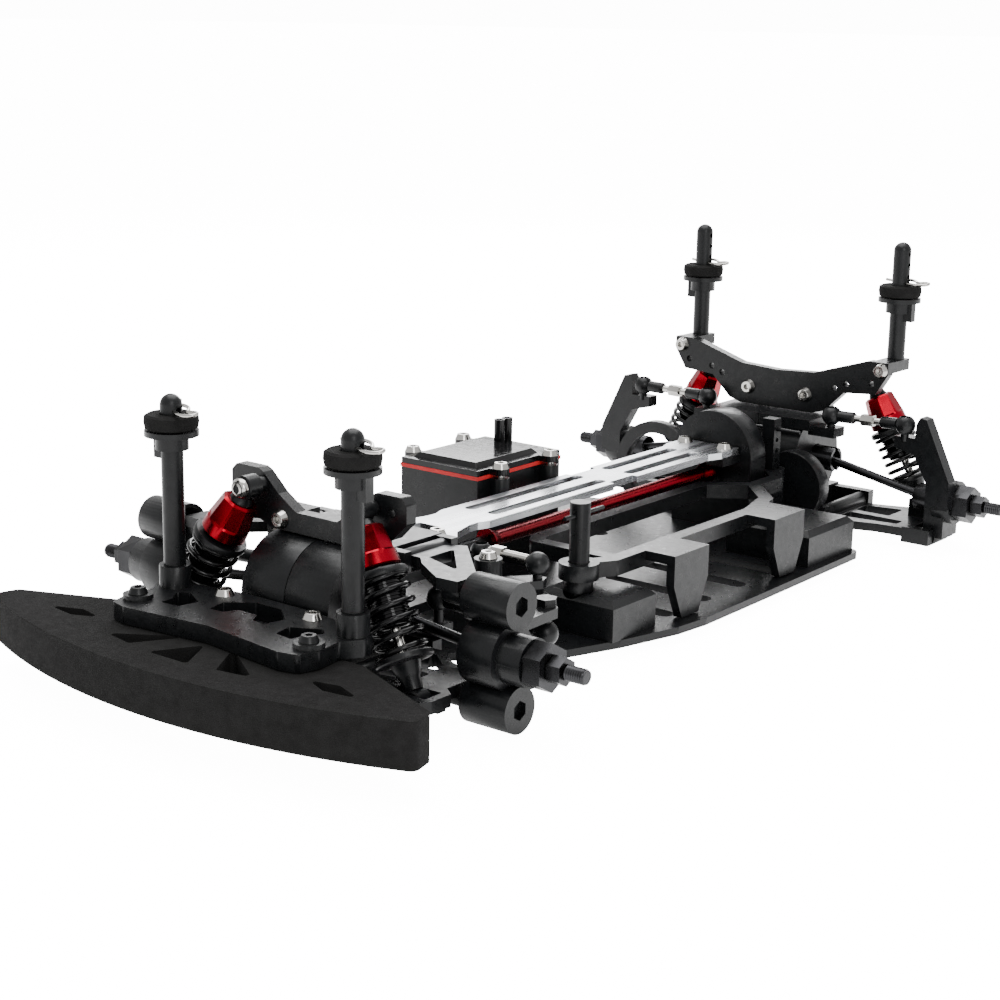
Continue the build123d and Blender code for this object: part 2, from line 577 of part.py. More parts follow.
# ---------------------------------------------------------------- front suspension
def make_front_arms():
    lower_outline = [(24, -15), (34, -15), (43, -22), (55, -22), (57, -19), (57, -11), (53.2, -8), (53.2, 4.5),
                     (50, 6.5), (40, 10), (33, 15.9), (24, 15.9)]
    with BuildPart() as lower:
        slab(lower_outline, level(-13.8), 3.6)
        bar((ARM_IN[0], -15.9, ARM_IN[1]), (ARM_IN[0], 15.9, ARM_IN[1]), 3.2)
        slab([(30.5, -11.5), (42.0, -9), (42.0, -2), (30.5, -2)], level(-16), 8, 1.0, Mode.SUBTRACT)
        slab([(30.5, 1.5), (41.5, 1.5), (40, 6), (33, 11.5), (30.5, 11.5)], level(-16), 8, 1.0, Mode.SUBTRACT)
        bar((46, 0, ARM_OUT[1]), (53.2, 0, ARM_OUT[1]), 3.4)
        bar((53, 0, ARM_OUT[1]), (ARM_OUT[0], 0, ARM_OUT[1]), STUD_R)
        ball((ARM_OUT[0], 0, ARM_OUT[1]), BALL_R)
        for low, high in ((-22, -18.6), (-11.9, -8.6)):
            block((45, low, -16.6), (53.2, high, -10.2))
        block((42.2, -18.6, -20), (54.4, -11.9, -5), Mode.SUBTRACT)
        bar((ARM_IN[0], -17, ARM_IN[1]), (ARM_IN[0], 17, ARM_IN[1]), M3, Mode.SUBTRACT)
        bar((SHOCK_F_LOW.X, -21.9, SHOCK_F_LOW.Z), (SHOCK_F_LOW.X, -9.1, SHOCK_F_LOW.Z), M3 - 2 * RUN)
    save_pair("front_lower_arm", lower.part)

    upper_outline = [(24, 7.6), (24, 24.4), (29, 24.4), (32, 26), (53.2, 4.2), (53.2, -4), (46, -4.5), (34, 3.5),
                     (30, 7.6)]
    with BuildPart() as upper:
        slab(upper_outline, level(15.7), 3.3)
        bar((UPPER_IN[0], 7.6, UPPER_IN[1]), (UPPER_IN[0], 24.4, UPPER_IN[1]), 3.0)
        slab([(31.5, 9.5), (31.5, 20.5), (46, 4.5)], level(12), 10, 0.6, Mode.SUBTRACT)
        bar((47, 0, UPPER_OUT[1]), (53.2, 0, UPPER_OUT[1]), 3.6)
        bar((53, 0, UPPER_OUT[1]), (UPPER_OUT[0], 0, UPPER_OUT[1]), STUD_R)
        ball((UPPER_OUT[0], 0, UPPER_OUT[1]), BALL_R)
        bar((UPPER_IN[0], 6, UPPER_IN[1]), (UPPER_IN[0], 28, UPPER_IN[1]), M3, Mode.SUBTRACT)
    save_pair("front_upper_arm", upper.part)

    seats = []
    for x, z in (ARM_OUT, UPPER_OUT):
        with BuildPart() as seat:
            ball((x, 0, z), SEAT_R)
            ball((x, 0, z), BALL_R + RUN, Mode.SUBTRACT)
            bar((x - 6, 0, z), (x, 0, z), 2.9, Mode.SUBTRACT)
        seats.append(seat.part)
    save_pair("pivot_seats", *seats)


def make_knuckle():
    kingpin = ARM_OUT[0]
    with BuildPart() as knuckle:
        bar((57.2, 0, 0), (69, 0, 0), 9.3)
        bar((69, 0, 0), (76.6, 0, 0), 7.0)
        for z in (ARM_OUT[1], UPPER_OUT[1]):
            bar((56, 0, z), (72, 0, z), 6.7)
        slab([(64.5, 3), (67.5, 8), (67, CRANK_R), (63, CRANK_R + 4), (59, CRANK_R), (58.5, 8), (57.5, 3)],
             level(5.2), 3.0)
        for z in (ARM_OUT[1], UPPER_OUT[1]):
            ball((kingpin, 0, z), SEAT_R + 0.3, Mode.SUBTRACT)
            taper((55.9, 0, z), (59.4, 0, z), 5.6, 3.9, Mode.SUBTRACT)
            hex_bar((70, 0, z), (72.1, 0, z), 5.0, Mode.SUBTRACT)
        bar((59.9, 0, 0), (67.4, 0, 0), 5.7, Mode.SUBTRACT)
        taper((57.1, 0, 0), (60, 0, 0), 7.8, 5.7, Mode.SUBTRACT)
        bar((67, 0, 0), (77, 0, 0), 2.5 + RUN, Mode.SUBTRACT)
        bar((TIE_OUT.X, TIE_OUT.Y, TIE_OUT.Z), (TIE_OUT.X, TIE_OUT.Y, 6), STUD_R)
        ball(TIE_OUT, TIE_BALL_R)
        hex_bar((TIE_OUT.X, TIE_OUT.Y, 8.2), (TIE_OUT.X, TIE_OUT.Y, 10.4), 5.5)
    save_pair("knuckle", knuckle.part)


def make_axle(y, z, ball_x, mouth_x, cup_end, play):
    """Axle with its drive cup, wheel hexagon, cross pin and nut."""
    with BuildPart() as axle:
        bar((mouth_x, y, z), (cup_end, y, z), 5.0)
        bar((cup_end - 0.2, y, z), (82.9, y, z), 2.5)
        bar((82.7, y, z), (NUT_END, y, z), THREAD_CORE)
        bar((NUT_END, y, z), (STUB_END, y, z), 2.0)
        bar((mouth_x - 1, y, z), (ball_x + play, y, z), 3.6, Mode.SUBTRACT)
        taper((mouth_x - 0.1, y, z), (mouth_x + 1.1, y, z), 4.3, 3.6, Mode.SUBTRACT)
        block((mouth_x - 1, y - 1.1, z - 6), (ball_x + 2, y + 1.1, z + 6), Mode.SUBTRACT)
    with BuildPart() as hexagon:
        hex_bar((77.0, y, z), (HEX_FACE, y, z), HEX_FLATS)
        bar((76, y, z), (84, y, z), 2.5 + RUN, Mode.SUBTRACT)
    with BuildPart() as nut:
        hex_bar((82.9, y, z), (NUT_END - 0.1, y, z), 7.0)
        bar((82, y, z), (88, y, z), THREAD_CORE + RUN, Mode.SUBTRACT)
    return [axle.part, hexagon.part, nut.part]


def make_bone(start, end):
    with BuildPart() as bone:
        bar(start, end, BONE_R)
        for centre in (start, end):
            ball(centre, 2.7)
            with BuildPart(mode=Mode.PRIVATE) as pin:
                bar(centre - Vector(0, 3.1, 0), centre + Vector(0, 3.1, 0), 0.8)
            add(pin.part)
    return bone.part


# ---------------------------------------------------------------- shock absorbers
CUP_GAP = 13.0                # lower eye to the underside of the spring
BODY_GAP = 20.5               # lower eye to the end of the cylinder


def make_shock(name, top, low):
    axis = (low - top).normalized()
    length = (low - top).length
    cup_s = length - CUP_GAP
    body_end = length - BODY_GAP
    collar_s = 18.0

    def at(distance):
        return top + axis * distance

    def eye(centre):
        bar(centre - Vector(0, 2.6, 0), centre + Vector(0, 2.6, 0), 3.6)

    def eye_hole(centre):
        bar(centre - Vector(0, 4, 0), centre + Vector(0, 4, 0), M3, Mode.SUBTRACT)

    with BuildPart() as head:
        eye(top)
        bar(at(1), at(5.5), 2.4)
        eye_hole(top)
    with BuildPart() as cap:
        taper(at(5.6), at(16.5), 4.8, 6.8)
    with BuildPart() as cylinder:
        bar(at(16.6), at(body_end), 5.5)
        bar(at(collar_s), at(collar_s + 2), 7.9)
        bar(at(collar_s + 2), at(body_end + 1), M3 + 0.2, Mode.SUBTRACT)
    save_pair(f"{name}_shock_body", head.part, cap.part, cylinder.part)

    with BuildPart() as rod:
        bar(at(collar_s + 9), at(length - 3), M3)
        bar(at(cup_s), at(cup_s + 2.2), 7.9)
        bar(at(cup_s + 2.2), at(length - 2.5), 2.6)
        eye(low)
        eye_hole(low)
    save_pair(f"{name}_shock_rod", rod.part)

    start = at(collar_s + 2.8)
    height = cup_s - collar_s - 3.6
    with BuildPart() as spring:
        with BuildLine():
            coil = Helix(pitch=height / 5, height=height, radius=6.9, center=start, direction=axis)
        with BuildSketch(Plane(origin=coil @ 0, z_dir=coil % 0)):
            Circle(0.65)
        sweep(path=coil, is_frenet=True)
    save_pair(f"{name}_spring", spring.part)


# ---------------------------------------------------------------- rear suspension
def make_rear_suspension():
    y0 = WHEELBASE
    pin_x, pin_z = R_ARM_OUT
    outline = [(29, y0 - 15), (29, y0 + 15), (33.5, y0 + 15), (40, y0 + 17), (50, y0 + 20.5),
               (62.5, y0 + 20.5), (62.5, y0 - 11), (50, y0 - 12), (40, y0 - 15)]
    with BuildPart() as arm:
        slab(outline, level(-17.4), 3.2)
        bar((R_ARM_IN[0], y0 - 15, R_ARM_IN[1]), (R_ARM_IN[0], y0 + 15, R_ARM_IN[1]), 2.9)
        slab([(34, y0 - 10), (34, y0 - 2), (56, y0 - 2), (56, y0 - 7)], level(-20), 8, 1.0, Mode.SUBTRACT)
        slab([(34, y0 + 2), (34, y0 + 11), (48, y0 + 14), (48, y0 + 2)], level(-20), 8, 1.0, Mode.SUBTRACT)
        for low, high in ((y0 - 11, y0 - 7.1), (y0 + 7.1, y0 + 10.2)):
            block((60, low, -19.5), (pin_x + 3, high, -13.8))
        for low, high in ((y0 + 7.1, y0 + 10.0), (y0 + 16.0, y0 + 20.5)):
            block((53.5, low, -17), (60.5, high, -7.6))
        block((52.6, y0 + 10.0, -20), (61.4, y0 + 16.0, -5), Mode.SUBTRACT)
        bar((R_ARM_IN[0], y0 - 17, R_ARM_IN[1]), (R_ARM_IN[0], y0 + 17, R_ARM_IN[1]), M3, Mode.SUBTRACT)
        bar((pin_x, y0 - 11, pin_z), (pin_x, y0 + 10.2, pin_z), M3)
        bar((SHOCK_R_LOW.X, y0 + 8, SHOCK_R_LOW.Z), (SHOCK_R_LOW.X, y0 + 20.4, SHOCK_R_LOW.Z), M3 - 2 * RUN)
    save_pair("rear_lower_arm", arm.part)

    with BuildPart() as upright:
        bar((69.5, y0, REAR_Z), (76.6, y0, REAR_Z), 8.0)
        bar((pin_x, y0 - 6.7, pin_z), (pin_x, y0 + 6.7, pin_z), 3.6)
        block((66.2, y0 - 6.0, pin_z), (74, y0 + 6.0, REAR_Z))
        leg = [(54.3, 15.5), (54.3, 19.6), (62.5, 19.6), (62.7, 25), (64, 27.5), (66.6, 27), (77, 5), (77, -5),
               (68, -5), (68, 3.5), (62.5, 13.5)]
        slab(leg, across(y0 - 4.5), 5.5)
        block((68, y0 - 8, -6), (76, y0 - 3, 3))
        bar((69, y0, REAR_Z), (77, y0, REAR_Z), 2.5 + RUN, Mode.SUBTRACT)
        bar((60, y0, REAR_Z), (69.9, y0, REAR_Z), 5.4, Mode.SUBTRACT)
        bar((pin_x, y0 - 12, pin_z), (pin_x, y0 + 12, pin_z), M3 + RUN, Mode.SUBTRACT)
        bar((LINK_OUT.X, LINK_OUT.Y, 18), (LINK_OUT.X, LINK_OUT.Y, LINK_OUT.Z), STUD_R)
        ball(LINK_OUT, TIE_BALL_R)
    save_pair("rear_upright", upright.part)
    save_pair("camber_link", make_link(LINK_IN, LINK_OUT, -1, -1))
    save_pair("rear_axle", *make_axle(y0, REAR_Z, R_BALL_X, 60.6, 69.5, 4.2))
    save_pair("rear_dogbone", make_bone(Vector(CUP_BALL_X, y0, DRIVE_Z), Vector(R_BALL_X, y0, REAR_Z)))
    make_shock("rear", SHOCK_R_TOP, SHOCK_R_LOW)


def make_link(start, end, start_side, end_side):
    """Rod with a ball cup at each end; the studs enter from above (1) or below (-1)."""
    run = (end - start).normalized()
    with BuildPart() as link:
        bar(start, end, 1.9)
        hex_bar(start + run * 9, start + run * 14, 4.6)
        for centre, side in ((start, start_side), (end, end_side)):
            ball(centre, TIE_EYE_R)
        for centre, side in ((start, start_side), (end, end_side)):
            ball(centre, TIE_BALL_R + 0.12, Mode.SUBTRACT)
            bar(centre, centre + Vector(0, 0, 5 * side), 2.6, Mode.SUBTRACT)
    return link.part


# ---------------------------------------------------------------- steering
def make_steering():
    crank_x, crank_y = CRANK
    rear = (crank_x, crank_y + CRANK_R)
    servo = Vector(crank_x + SERVO_ARM[0], crank_y + SERVO_ARM[1], SERVO_Z)

    def crank(x):
        bar((x, crank_y, DECK_Z + 0.4), (x, crank_y, 11.4), 4.2)
        slab([(x - 3.6, crank_y), (x - 3.6, rear[1]), (x, rear[1] + 3.6), (x + 3.6, rear[1]), (x + 3.6, crank_y)],
             level(-4.0), 3.0)
        bar((x, rear[1], -5), (x, rear[1], 0), M3 + RUN, Mode.SUBTRACT)

    with BuildPart() as left:
        crank(crank_x)
        slab([(crank_x - 3, crank_y - 2), (crank_x - 3, crank_y + 3), (servo.X - 3, servo.Y + 2),
              (servo.X + 1.5, servo.Y + 2.6), (servo.X + 3, servo.Y - 1), (crank_x + 3, crank_y - 3)],
             level(1.6), 2.6)
        bar((servo.X, servo.Y, 3), servo, STUD_R)
        ball(servo, TIE_BALL_R)
        bar((crank_x, crank_y, -18), (crank_x, crank_y, 12), M3 + RUN, Mode.SUBTRACT)
    save("bellcrank_left", left.part)
    with BuildPart() as right:
        crank(-crank_x)
        bar((-crank_x, crank_y, -18), (-crank_x, crank_y, 12), M3 + RUN, Mode.SUBTRACT)
    save("bellcrank_right", right.part)

    with BuildPart() as plate:
        block((-28, rear[1] - 3.5, -8), (28, rear[1] + 3.5, -5))
        block((-8, TIE_IN.Y, -8), (8, rear[1], -5))
        block((-TIE_IN.X - 3, TIE_IN.Y - 3, -8), (TIE_IN.X + 3, TIE_IN.Y + 3, -5))
        for side in (1, -1):
            bar((side * crank_x, rear[1], -8), (side * crank_x, rear[1], -5), 4.5)
            bar((side * crank_x, rear[1], -5), (side * crank_x, rear[1], -0.4), M3)
            bar((side * TIE_IN.X, TIE_IN.Y, -6), (side * TIE_IN.X, TIE_IN.Y, TIE_IN.Z), STUD_R)
            ball((side * TIE_IN.X, TIE_IN.Y, TIE_IN.Z), TIE_BALL_R)
    save("steering_plate", plate.part)

    inner = Vector(15.0, servo.Y, SERVO_Z)
    with BuildPart() as servo_link:
        bar(servo, inner, 1.7)
        hex_bar(inner + Vector(5, 0, 0), inner + Vector(9, 0, 0), 4.2)
        ball(servo, TIE_EYE_R)
        ball(inner, 3.3)
        ball(servo, TIE_BALL_R + 0.12, Mode.SUBTRACT)
        bar(servo - Vector(0, 0, 5), servo, 2.4, Mode.SUBTRACT)
        ball(inner, 2.4, Mode.SUBTRACT)
        bar(inner - Vector(0, 0, 5), inner + Vector(0, 0, 5), 2.0, Mode.SUBTRACT)
    save("servo_link", servo_link.part)
    save_pair("tie_rod", make_link(TIE_IN, TIE_OUT, -1, 1))


# ---------------------------------------------------------------- drive train
def make_drive():
    front_end, rear_end = 75.0, 205.0
    with BuildPart() as shaft:
        bar((0, front_end, DRIVE_Z), (0, rear_end, DRIVE_Z), 2.5)
        taper((0, front_end, DRIVE_Z), (0, front_end + 5, DRIVE_Z), 4.2, 2.5)
        taper((0, rear_end - 5, DRIVE_Z), (0, rear_end, DRIVE_Z), 2.5, 4.2)
        for y in (front_end, rear_end):
            bar((0, y - 4.2, DRIVE_Z), (0, y + 4.2, DRIVE_Z), SHAFT_R + RUN - 0.6, Mode.SUBTRACT)
    save("centre_shaft", shaft.part)

    def pinion(y0, facing, shaft_end):
        with BuildPart() as gear:
            taper((0, y0 + facing * 9, DRIVE_Z), (0, y0 + facing * 13, DRIVE_Z), 2.9, 4.0)
            bar((0, y0 + facing * 12.9, DRIVE_Z), (0, shaft_end - facing * 0.2, DRIVE_Z), SHAFT_R)
            bar((0, shaft_end - facing * 1, DRIVE_Z), (0, shaft_end + facing * 3.9, DRIVE_Z), SHAFT_R - 0.6)
        return gear.part

    with BuildPart() as spur:
        with BuildSketch(across(216.5)) as wheel:
            Circle(13.4)
            with PolarLocations(13.4, 48):
                Rectangle(1.6, 0.8)
        extrude(amount=5)
    spur_gear = Location((0, 0, DRIVE_Z)) * spur.part
    with BuildPart() as bored:
        add(spur_gear)
        bar((0, 205, DRIVE_Z), (0, 222, DRIVE_Z), SHAFT_R + 0.02, Mode.SUBTRACT)
    save("drive_gears", pinion(0, 1, front_end), pinion(WHEELBASE, -1, rear_end), bored.part)

    for name, y0, ring_side in (("front_diff", 0, -1), ("rear_diff", WHEELBASE, 1)):
        with BuildPart() as diff:
            bar((-7, y0, DRIVE_Z), (7, y0, DRIVE_Z), 8.3)
            bar((ring_side * 6.6, y0, DRIVE_Z), (ring_side * 4.7, y0, DRIVE_Z), 12.6)
            for side in (1, -1):
                bar((side * 7, y0, DRIVE_Z), (side * 25.6, y0, DRIVE_Z), CUP_R)
                bar((side * 18.4, y0, DRIVE_Z), (side * 26, y0, DRIVE_Z), 3.4, Mode.SUBTRACT)
            for low, high in ((19.5, 26), (-26, -19.5)):
                block((low, y0 - 1.1, DRIVE_Z - 6), (high, y0 + 1.1, DRIVE_Z + 6), Mode.SUBTRACT)
        save(name, diff.part)


make_chassis()
make_top_deck()
make_bumper()
make_body_posts()
make_front_gearbox()
make_rear_gearbox()
make_towers()
make_motor_mount()
make_receiver_box()
make_battery()
make_front_arms()
make_knuckle()
save_pair("front_axle", *make_axle(0, 0, F_BALL_X, 59.6, 67.2, 3.6))
save_pair("front_dogbone", make_bone(Vector(CUP_BALL_X, 0, DRIVE_Z), Vector(F_BALL_X, 0, 0)))
make_shock("front", SHOCK_F_TOP, SHOCK_F_LOW)
make_rear_suspension()
make_steering()
make_drive()
make_fasteners()
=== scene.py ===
"""Four-wheel-drive drift car chassis in a plain studio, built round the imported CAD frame.

Everything is in metres. -Y is the front of the car and +X its left side.
"""
import json
import math

import bmesh
import bpy
from mathutils import Matrix, Vector


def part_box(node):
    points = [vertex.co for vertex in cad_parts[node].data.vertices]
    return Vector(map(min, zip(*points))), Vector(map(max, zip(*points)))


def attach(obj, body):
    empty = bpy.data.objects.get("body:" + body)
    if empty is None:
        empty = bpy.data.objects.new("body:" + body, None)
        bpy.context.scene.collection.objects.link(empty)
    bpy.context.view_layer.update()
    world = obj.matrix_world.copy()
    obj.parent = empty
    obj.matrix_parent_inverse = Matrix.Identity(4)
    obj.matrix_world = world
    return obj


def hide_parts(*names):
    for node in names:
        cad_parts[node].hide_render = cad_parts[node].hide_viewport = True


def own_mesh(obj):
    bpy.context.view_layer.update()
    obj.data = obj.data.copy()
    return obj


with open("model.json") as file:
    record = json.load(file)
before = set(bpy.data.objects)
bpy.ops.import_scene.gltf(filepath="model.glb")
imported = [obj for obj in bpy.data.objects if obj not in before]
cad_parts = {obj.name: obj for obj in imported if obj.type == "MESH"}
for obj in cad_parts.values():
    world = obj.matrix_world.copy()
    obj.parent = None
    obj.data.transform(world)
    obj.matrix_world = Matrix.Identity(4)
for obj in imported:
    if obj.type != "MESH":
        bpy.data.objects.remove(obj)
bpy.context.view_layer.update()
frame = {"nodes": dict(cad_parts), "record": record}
NODES = frame["nodes"]
MM = 0.001
SIDES = ("left", "right")
SEEN_WHITE = 14                 # strength at which the surroundings show as plain white


# ---------------------------------------------------------------- camera and light
def make_camera():
    place = Vector((0.370168, -0.493717, 0.187802))
    ahead = Vector((-0.59839, 0.76370, -0.24226))
    right = Vector((0.78456, 0.61984, 0.01609))
    up = Vector((-0.16245, 0.18044, 0.97008))
    data = bpy.data.cameras.new("camera")
    data.lens = 69.67
    data.sensor_width = 36
    data.clip_start = 0.01
    camera = bpy.data.objects.new("camera", data)
    axes = Matrix((right, up, -ahead)).transposed().to_4x4()
    camera.matrix_world = Matrix.Translation(place) @ axes
    bpy.context.collection.objects.link(camera)
    bpy.context.scene.camera = camera


def area_light(name, place, target, size, power):
    data = bpy.data.lights.new(name, "AREA")
    data.shape = "RECTANGLE"
    data.size, data.size_y = size
    data.energy = power
    lamp = bpy.data.objects.new(name, data)
    lamp.location = place
    aim = Vector(target) - Vector(place)
    lamp.rotation_euler = aim.to_track_quat("-Z", "Y").to_euler()
    bpy.context.collection.objects.link(lamp)


def seen_or_lit(tree, socket, seen, lit):
    """Feed a strength socket one value as the camera sees it and another for the light it gives."""
    path = tree.nodes.new("ShaderNodeLightPath")
    level = tree.nodes.new("ShaderNodeMapRange")
    level.inputs["To Min"].default_value = lit
    level.inputs["To Max"].default_value = seen
    tree.links.new(path.outputs["Is Camera Ray"], level.inputs["Value"])
    tree.links.new(level.outputs["Result"], socket)


def make_light():
    world = bpy.data.worlds.new("studio")
    world.use_nodes = True
    world.node_tree.nodes["Background"].inputs["Color"].default_value = (1, 1, 1, 1)
    seen_or_lit(world.node_tree, world.node_tree.nodes["Background"].inputs["Strength"],
                SEEN_WHITE, 1.25)
    bpy.context.scene.world = world
    area_light("overhead", (-0.1, 0.1, 0.9), (0, 0, 0), (0.9, 0.9), 16)
    area_light("front_left", (0.9, -0.7, 0.6), (0, 0, 0.03), (0.35, 0.7), 6)
    area_light("behind", (-0.6, 0.9, 0.5), (0, 0, 0.03), (0.6, 0.4), 8)


def make_floor():
    bpy.ops.mesh.primitive_plane_add(size=60, location=(0, 0, -0.0005))
    floor = bpy.context.object
    floor.name = "studio_floor"
    floor.data.materials.append(bright_floor())


# ---------------------------------------------------------------- materials
def bright_floor():
    """White table that glows enough to melt into the white surroundings."""
    material = bpy.data.materials.new("bright_floor")
    material.use_nodes = True
    shader = material.node_tree.nodes["Principled BSDF"]
    shader.inputs["Base Color"].default_value = (0.9, 0.9, 0.9, 1)
    shader.inputs["Roughness"].default_value = 0.9
    shader.inputs["Specular IOR Level"].default_value = 0
    shader.inputs["Emission Color"].default_value = (1, 1, 1, 1)
    seen_or_lit(material.node_tree, shader.inputs["Emission Strength"], SEEN_WHITE, 0.9)
    return material


class Surface:
    """A Principled material whose colour, roughness and relief come from object-space patterns."""

    def __init__(self, name, metallic=0.0, **fixed):
        self.material = bpy.data.materials.new(name)
        self.material.use_nodes = True
        self.tree = self.material.node_tree
        self.shader = self.tree.nodes["Principled BSDF"]
        self.shader.inputs["Metallic"].default_value = metallic
        for key, value in fixed.items():
            self.shader.inputs[key.replace("_", " ")].default_value = value
        self.place = self.tree.nodes.new("ShaderNodeTexCoord").outputs["Object"]

    def node(self, kind, **settings):
        made = self.tree.nodes.new(kind)
        for key, value in settings.items():
            setattr(made, key, value)
        return made

    def link(self, source, target):
        self.tree.links.new(source, target)

    def stretched(self, scale):
        mapping = self.node("ShaderNodeMapping")
        mapping.inputs["Scale"].default_value = scale
        self.link(self.place, mapping.inputs["Vector"])
        return mapping.outputs["Vector"]

    def noise(self, scale, detail=4.0, stretch=None):
        made = self.node("ShaderNodeTexNoise")
        made.inputs["Scale"].default_value = scale
        made.inputs["Detail"].default_value = detail
        self.link(self.stretched(stretch) if stretch else self.place, made.inputs["Vector"])
        return made.outputs["Fac"]

    def cells(self, scale):
        made = self.node("ShaderNodeTexVoronoi")
        made.inputs["Scale"].default_value = scale
        self.link(self.place, made.inputs["Vector"])
        return made.outputs["Distance"]

    def colour(self, pattern, dark, light, low=0.35, high=0.65):
        ramp = self.node("ShaderNodeValToRGB")
        ramp.color_ramp.elements[0].position = low
        ramp.color_ramp.elements[1].position = high
        ramp.color_ramp.elements[0].color = (*dark, 1)
        ramp.color_ramp.elements[1].color = (*light, 1)
        self.link(pattern, ramp.inputs["Fac"])
        self.link(ramp.outputs["Color"], self.shader.inputs["Base Color"])

    def roughness(self, pattern, low, high):
        spread = self.node("ShaderNodeMapRange")
        spread.inputs["From Min"].default_value = 0.3
        spread.inputs["From Max"].default_value = 0.7
        spread.inputs["To Min"].default_value = low
        spread.inputs["To Max"].default_value = high
        self.link(pattern, spread.inputs["Value"])
        self.link(spread.outputs["Result"], self.shader.inputs["Roughness"])

    def relief(self, *layers):
        """Bumps from (pattern, depth in metres) pairs, one on top of the other."""
        normal = None
        for pattern, depth in layers:
            bump = self.node("ShaderNodeBump")
            bump.inputs["Distance"].default_value = depth
            self.link(pattern, bump.inputs["Height"])
            if normal:
                self.link(normal, bump.inputs["Normal"])
            normal = bump.outputs["Normal"]
        self.link(normal, self.shader.inputs["Normal"])


def moulded_plastic(name, dark, light, rough_low, rough_high, grain=0.00003):
    surface = Surface(name, Specular_IOR_Level=0.2)
    surface.colour(surface.noise(160), dark, light, 0.25, 0.75)
    surface.roughness(surface.noise(420), rough_low, rough_high)
    surface.relief((surface.noise(3500, 2.0), grain))
    return surface.material


def metal(name, dark, light, rough_low, rough_high, stretch=None, relief=0.00001):
    surface = Surface(name, metallic=1.0)
    surface.colour(surface.noise(60), dark, light)
    surface.roughness(surface.noise(400, 6.0, stretch), rough_low, rough_high)
    surface.relief((surface.noise(1500, 4.0, stretch), relief))
    return surface.material


def foam(name):
    surface = Surface(name, Specular_IOR_Level=0.08)
    surface.colour(surface.noise(240, 6.0), (0.0062, 0.006, 0.0059), (0.0095, 0.0093, 0.0092), 0.3, 0.7)
    surface.roughness(surface.noise(700), 0.85, 1.0)
    surface.relief((surface.cells(2200), 0.00012), (surface.noise(60), 0.0003))
    return surface.material


make_camera()
make_light()
make_floor()

BLACK = moulded_plastic("black_plastic", (0.0022, 0.0024, 0.0027), (0.004, 0.0043, 0.0048), 0.26, 0.38)
GLOSS = moulded_plastic("glossy_black_plastic", (0.0015, 0.0015, 0.0017), (0.003, 0.003, 0.0033),
                        0.07, 0.16, 0.000006)
FOAM = foam("black_foam")
RED = metal("red_anodised", (0.2, 0.0015, 0.008), (0.27, 0.003, 0.013), 0.22, 0.32)
SILVER = metal("silver_sheet", (0.42, 0.43, 0.45), (0.55, 0.56, 0.58), 0.22, 0.36, (1, 0.02, 1))
STEEL = metal("bright_steel", (0.32, 0.31, 0.29), (0.46, 0.45, 0.43), 0.12, 0.25)
DARK_STEEL = metal("dark_steel", (0.018, 0.018, 0.019), (0.035, 0.035, 0.037), 0.24, 0.36)
RUBBER = moulded_plastic("red_gasket", (0.35, 0.01, 0.012), (0.5, 0.02, 0.02), 0.4, 0.6)

SLOTS = {
    "black_plastic": BLACK, "black_foam": FOAM, "red_aluminium": RED, "silver_aluminium": SILVER,
    "bright_steel": STEEL, "dark_steel": DARK_STEEL, "black_spring_steel": GLOSS,
}


def dress_nodes():
    """Give each CAD node its record slot's material and slightly rounded edges."""
    for part in frame["record"]["subparts"]:
        node = NODES[part["node"]]
        node.data.materials.clear()
        node.data.materials.append(SLOTS[part["material_slot"]])
        weld = node.modifiers.new("weld", "WELD")
        weld.merge_threshold = 0.000002
        bevel = node.modifiers.new("bevel", "BEVEL")
        bevel.width = 0.00022
        bevel.segments = 2
        bevel.limit_method = "ANGLE"
        bevel.angle_limit = math.radians(32)
        bevel.harden_normals = True


# ---------------------------------------------------------------- mesh helpers
def finish_mesh(name, mesh, material, body, bevel=0.0, sharp=35):
    """Turn a mesh into a piece that rides on a CAD body."""
    for face in mesh.polygons:
        face.use_smooth = True
    mesh.set_sharp_from_angle(angle=math.radians(sharp))
    mesh.materials.clear()
    mesh.materials.append(material)
    piece = bpy.data.objects.new(name, mesh)
    bpy.context.collection.objects.link(piece)
    if bevel:
        round_edges(piece, bevel)
    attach(piece, body)
    return piece


def round_edges(piece, width, segments=2):
    bevel = piece.modifiers.new("bevel", "BEVEL")
    bevel.width = width
    bevel.segments = segments
    bevel.limit_method = "ANGLE"
    bevel.angle_limit = math.radians(32)
    bevel.harden_normals = True


def axes_along(direction):
    """Two unit vectors that make a right-handed set with the direction."""
    ahead = Vector(direction).normalized()
    helper = Vector((0, 1, 0)) if abs(ahead.y) < 0.9 else Vector((1, 0, 0))
    across = helper.cross(ahead).normalized()
    return across, ahead.cross(across), ahead


